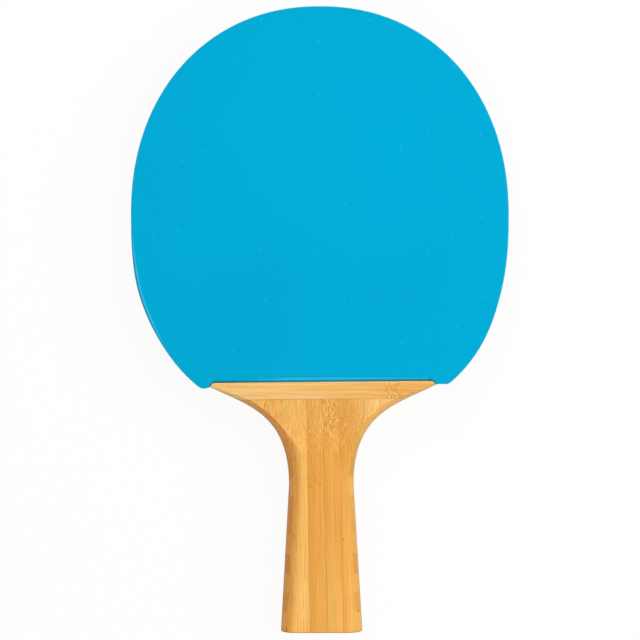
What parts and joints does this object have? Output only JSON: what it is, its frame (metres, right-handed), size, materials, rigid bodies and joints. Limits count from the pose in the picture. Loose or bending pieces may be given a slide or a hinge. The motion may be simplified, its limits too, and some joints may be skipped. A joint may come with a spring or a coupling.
{
  "type": "table tennis racket",
  "caption": "Table tennis racket with a rounded bamboo blade, smooth rubber on both faces and a flared handle laminated from bamboo strips.",
  "frame": {"origin": "under the middle of the racket, in the plane of the handle's back face, on which the racket lies", "axes": "+Y from the butt to the top of the head, +Z the outward normal of the front (blue) playing face, +X to the right seen from the front"},
  "size_m": [0.1518, 0.2506, 0.0206],
  "materials": {
    "bamboo_ply": "satin",
    "bamboo_light": "satin",
    "bamboo_dark": "satin",
    "sponge": "matte",
    "rubber_blue": "satin",
    "rubber_black": "satin"
  },
  "bodies": {
    "root": {"blade_back_ply": "bamboo_ply", "blade_core_ply": "bamboo_ply", "blade_front_ply": "bamboo_ply", "front_cross_strip_01": "bamboo_light", "front_cross_strip_02": "bamboo_dark", "front_cross_strip_03": "bamboo_light", "front_cross_strip_04": "bamboo_dark", "front_cross_strip_05": "bamboo_light", "front_cross_strip_06": "bamboo_dark", "front_cross_strip_07": "bamboo_light", "front_cross_strip_08": "bamboo_dark", "front_cross_strip_09": "bamboo_light", "front_cross_strip_10": "bamboo_dark", "front_cross_strip_11": "bamboo_light", "front_cross_strip_12": "bamboo_dark", "front_cross_strip_13": "bamboo_light", "front_face_strip_1": "bamboo_light", "front_face_strip_2": "bamboo_dark", "front_face_strip_3": "bamboo_light", "front_face_strip_4": "bamboo_dark", "front_face_strip_5": "bamboo_light", "front_face_strip_6": "bamboo_dark", "front_face_strip_7": "bamboo_light", "front_face_strip_8": "bamboo_dark", "front_sponge": "sponge", "front_topsheet": "rubber_blue", "back_cross_strip_01": "bamboo_light", "back_cross_strip_02": "bamboo_dark", "back_cross_strip_03": "bamboo_light", "back_cross_strip_04": "bamboo_dark", "back_cross_strip_05": "bamboo_light", "back_cross_strip_06": "bamboo_dark", "back_cross_strip_07": "bamboo_light", "back_cross_strip_08": "bamboo_dark", "back_cross_strip_09": "bamboo_light", "back_cross_strip_10": "bamboo_dark", "back_cross_strip_11": "bamboo_light", "back_cross_strip_12": "bamboo_dark", "back_cross_strip_13": "bamboo_light", "back_face_strip_1": "bamboo_light", "back_face_strip_2": "bamboo_dark", "back_face_strip_3": "bamboo_light", "back_face_strip_4": "bamboo_dark", "back_face_strip_5": "bamboo_light", "back_face_strip_6": "bamboo_dark", "back_face_strip_7": "bamboo_light", "back_face_strip_8": "bamboo_dark", "back_sponge": "sponge", "back_topsheet": "rubber_black"}
  },
  "joints": []
}
